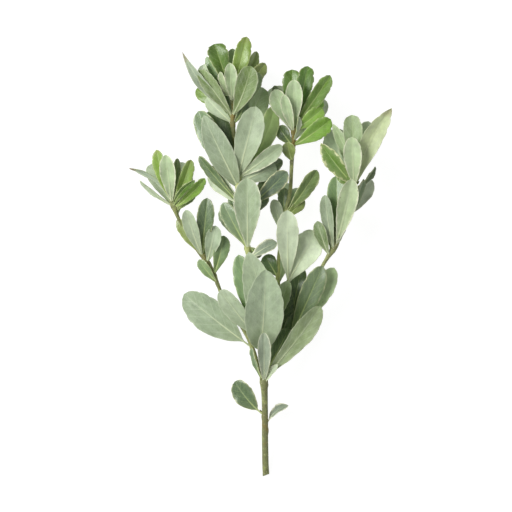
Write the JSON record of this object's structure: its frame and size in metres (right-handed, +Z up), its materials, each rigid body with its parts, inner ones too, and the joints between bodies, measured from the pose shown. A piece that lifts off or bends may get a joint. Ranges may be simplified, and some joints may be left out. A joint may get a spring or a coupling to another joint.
{
  "type": "pittosporum branch",
  "caption": "Cut foliage branch lying down: a woody stem that forks into leafy shoots with rosettes of thick, round-tipped, cream-edged grey-green leaves.",
  "frame": {"origin": "on the surface that the branch lies on, below the middle of its outline", "axes": "+Y from the cut end to the tip of the longest shoot, +Z up from the surface, +X to the right seen from above"},
  "size_m": [0.288, 0.4869, 0.087],
  "materials": {
    "bark": "young olive-tan bark, matt, with fine lengthwise ridges and leaf scars",
    "leaf": "thick grey-green leaf, waxy to satin, with a pale midrib and a cream margin"
  },
  "bodies": {
    "root": {"main_stem": "bark", "left_shoot": "leaf", "tall_shoot": "leaf", "middle_shoot": "leaf", "right_shoot": "leaf"}
  },
  "joints": []
}
